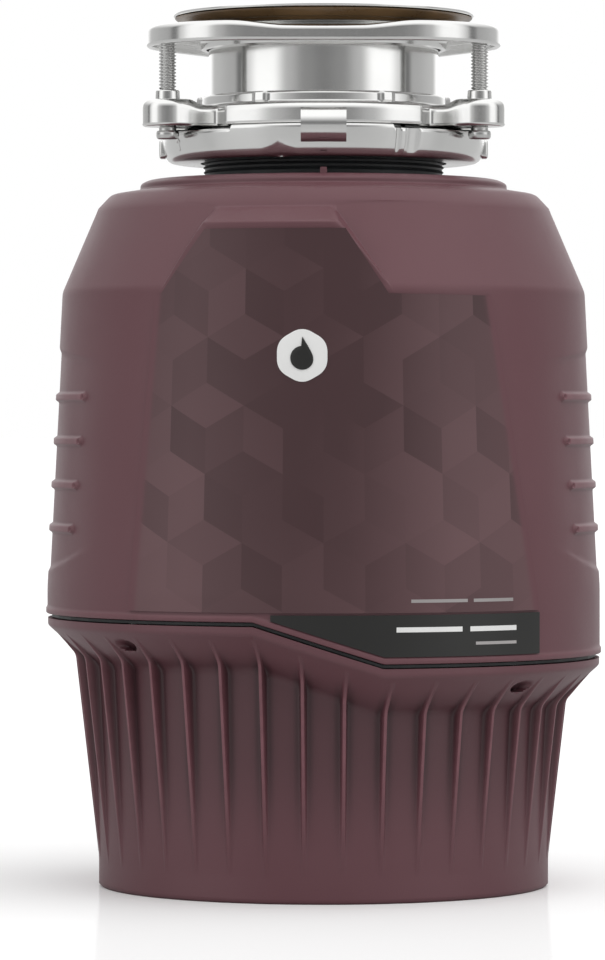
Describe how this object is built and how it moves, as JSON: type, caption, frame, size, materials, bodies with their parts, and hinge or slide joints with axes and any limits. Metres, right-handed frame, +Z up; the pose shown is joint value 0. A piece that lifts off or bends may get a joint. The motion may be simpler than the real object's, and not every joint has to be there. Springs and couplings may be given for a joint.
{
  "type": "kitchen garbage disposer",
  "caption": "Under-sink food waste disposer with a ribbed plum plastic casing, a faceted front label and a three-screw steel sink mount.",
  "frame": {"origin": "centre of the casing's circular footprint, on the underside of its foot ring", "axes": "+Z up along the motor shaft towards the sink flange, -Y the labelled front, +Y the drain outlet side"},
  "size_m": [0.2106, 0.211, 0.33],
  "materials": {
    "plum_plastic": "fine satin moulded plastic",
    "label_film": "satin printed film",
    "black_film": "satin printed film",
    "white_film": "smooth film",
    "polished_steel": "polished stainless steel",
    "plated_steel": "satin zinc-nickel plating",
    "zinc_steel": "bright zinc plating",
    "machined_steel": "ground steel",
    "cast_aluminium": "as cast",
    "lamination_steel": "stacked laminations, varnished",
    "copper_wire": "enamelled copper wire",
    "black_plastic": "moulded",
    "black_rubber": "moulded",
    "brown_rubber": "smooth",
    "foam": "sound-deadening foam",
    "red_plastic": "gloss"
  },
  "bodies": {
    "casing": {"lower_shell": "plum_plastic", "upper_shell": "plum_plastic", "seam_gasket": "black_rubber", "shell_screw_1": "zinc_steel", "shell_screw_2": "zinc_steel", "shell_screw_3": "zinc_steel", "shell_screw_4": "zinc_steel", "front_label": "label_film", "label_band": "black_film", "emblem": "white_film", "lower_end_bell": "cast_aluminium", "upper_end_bell": "cast_aluminium", "through_bolt_1": "zinc_steel", "through_bolt_2": "zinc_steel", "through_bolt_3": "zinc_steel", "through_bolt_4": "zinc_steel", "stator_core": "lamination_steel", "winding_upper": "copper_wire", "winding_lower": "copper_wire", "bearing_lower": "machined_steel", "bearing_upper": "machined_steel", "start_capacitor": "black_plastic", "grind_container": "black_plastic", "shredder_ring": "polished_steel", "drain_housing": "black_plastic", "outlet_gasket": "black_rubber", "outlet_flange": "plated_steel", "outlet_screw_1": "zinc_steel", "outlet_screw_2": "zinc_steel", "shaft_seal": "black_rubber", "housing_gasket": "black_rubber", "housing_clamp": "polished_steel", "insulation_jacket": "foam", "dishwasher_plug": "black_plastic", "mount_gasket": "black_rubber", "splash_baffle": "black_rubber", "mounting_ring": "plated_steel", "snap_ring": "plated_steel", "rim_gasket": "brown_rubber", "sink_flange": "polished_steel", "overload_protector": "black_plastic", "terminal_cover": "cast_aluminium", "cord_gland": "black_plastic", "terminal_screw": "zinc_steel"},
    "rotor": {"motor_shaft": "machined_steel", "rotor_core": "lamination_steel", "turntable": "polished_steel", "turntable_nut": "zinc_steel", "impeller_rivet_1": "zinc_steel", "impeller_rivet_2": "zinc_steel"},
    "swing_lug_1": {"impeller_1": "polished_steel"},
    "swing_lug_2": {"impeller_2": "polished_steel"},
    "lock_ring": {"lock_ring": "plated_steel"},
    "backup_ring": {"backup_ring": "plated_steel"},
    "mounting_screw_1": {"mounting_screw_1": "zinc_steel"},
    "mounting_screw_2": {"mounting_screw_2": "zinc_steel"},
    "mounting_screw_3": {"mounting_screw_3": "zinc_steel"},
    "reset_button": {"reset_button": "red_plastic"}
  },
  "joints": [
    {"name": "rotor_spin", "type": "hinge", "parent": "casing", "child": "rotor", "pos_m": [0, 0, 0.09], "axis": [0, 0, 1], "continuous": true},
    {"name": "impeller_1_swing", "type": "hinge", "parent": "rotor", "child": "swing_lug_1", "pos_m": [0, -0.045, 0.177], "axis": [0, 0, 1], "continuous": true},
    {"name": "impeller_2_swing", "type": "hinge", "parent": "rotor", "child": "swing_lug_2", "pos_m": [0, 0.045, 0.177], "axis": [0, 0, 1], "continuous": true},
    {"name": "lock_ring_turn", "type": "hinge", "parent": "casing", "child": "lock_ring", "pos_m": [0, 0, 0.28], "axis": [0, 0, 1], "range_deg": [0, 30]},
    {"name": "backup_ring_slide", "type": "slide", "parent": "casing", "child": "backup_ring", "axis": [0, 0, 1], "range_m": [-0.01, 0]},
    {"name": "reset_button_press", "type": "slide", "parent": "casing", "child": "reset_button", "axis": [0, 0, 1], "range_m": [0, 0.0025], "stiffness_N_per_m": 300},
    {"name": "mounting_screw_1_turn", "type": "hinge", "parent": "backup_ring", "child": "mounting_screw_1", "pos_m": [-0.0582, -0.0336, 0.3], "axis": [0, 0, 1], "range_deg": [-2835, 0]},
    {"name": "mounting_screw_2_turn", "type": "hinge", "parent": "backup_ring", "child": "mounting_screw_2", "pos_m": [0.0582, -0.0336, 0.3], "axis": [0, 0, 1], "range_deg": [-2835, 0]},
    {"name": "mounting_screw_3_turn", "type": "hinge", "parent": "backup_ring", "child": "mounting_screw_3", "pos_m": [0, 0.0672, 0.3], "axis": [0, 0, 1], "range_deg": [-2835, 0]}
  ],
  "couplings": [
    {"joint": "mounting_screw_1_turn", "follows": "backup_ring_slide", "rad_per_m": 4947.4},
    {"joint": "mounting_screw_2_turn", "follows": "backup_ring_slide", "rad_per_m": 4947.4},
    {"joint": "mounting_screw_3_turn", "follows": "backup_ring_slide", "rad_per_m": 4947.4}
  ]
}
